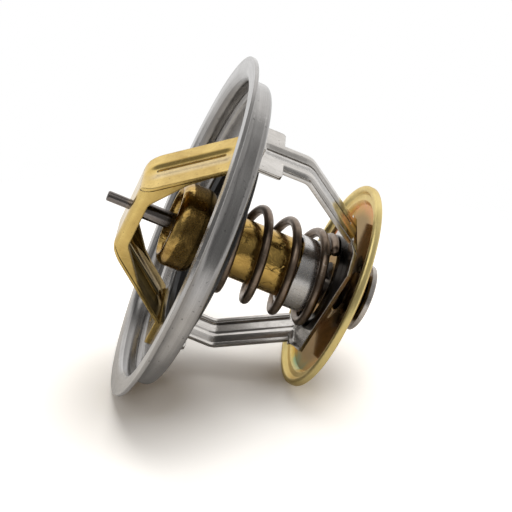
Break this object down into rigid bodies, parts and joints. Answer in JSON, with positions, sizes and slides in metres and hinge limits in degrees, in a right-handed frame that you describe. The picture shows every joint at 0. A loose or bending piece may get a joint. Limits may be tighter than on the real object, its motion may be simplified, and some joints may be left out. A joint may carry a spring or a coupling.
{
  "type": "engine thermostat",
  "caption": "Wax-element coolant thermostat: dished clamping flange, brass upper bridge, sprung main valve, steel lower bridge and a bypass disc on a stem",
  "frame": {"origin": "centre of the flange rim, on its upper clamp face", "axes": "+Z runs along the piston axis towards the piston tip, +X points to one leg of both bridges, which lie in the XZ plane"},
  "size_m": [0.08, 0.08, 0.0625],
  "materials": {
    "flange_steel": "bright tin-plated pressed steel",
    "bridge_brass": "polished pressed brass with fine scratches",
    "bridge_steel": "satin stainless sheet",
    "black_steel": "black oxide",
    "piston_steel": "ground steel",
    "spring_steel": "oiled spring wire",
    "element_brass": "drawn brass, slightly tarnished",
    "white_plastic": "matte white",
    "black_rubber": "matte black",
    "wax": "copper-filled wax",
    "valve_steel": "zinc-plated steel",
    "sleeve_steel": "satin steel",
    "yellow_zinc": "yellow-passivated zinc with faint rainbow stains"
  },
  "bodies": {
    "frame": {"flange": "flange_steel", "upper_bridge": "bridge_brass", "lower_bridge": "bridge_steel", "spring_seat": "black_steel", "piston": "piston_steel", "main_spring": "spring_steel"},
    "element": {"element_head": "element_brass", "guide_bush": "element_brass", "ptfe_washer": "white_plastic", "rubber_boot": "black_rubber", "wax_charge": "wax", "element_body": "element_brass", "main_valve": "valve_steel", "valve_seal": "black_rubber", "spring_retainer": "valve_steel", "sleeve": "sleeve_steel", "bypass_stem": "piston_steel", "stem_head": "sleeve_steel", "bypass_collar": "sleeve_steel", "bypass_spring": "spring_steel"},
    "bypass": {"bypass_valve": "yellow_zinc"}
  },
  "joints": [
    {"name": "valve_slide", "type": "slide", "parent": "frame", "child": "element", "axis": [0, 0, -1], "range_m": [0, 0.008], "stiffness_N_per_m": 2500, "springref_m": -0.006, "deforming": ["main_spring"]},
    {"name": "bypass_slide", "type": "slide", "parent": "element", "child": "bypass", "axis": [0, 0, 1], "range_m": [0, 0.0015], "stiffness_N_per_m": 800, "springref_m": -0.002, "deforming": ["bypass_spring"]}
  ]
}
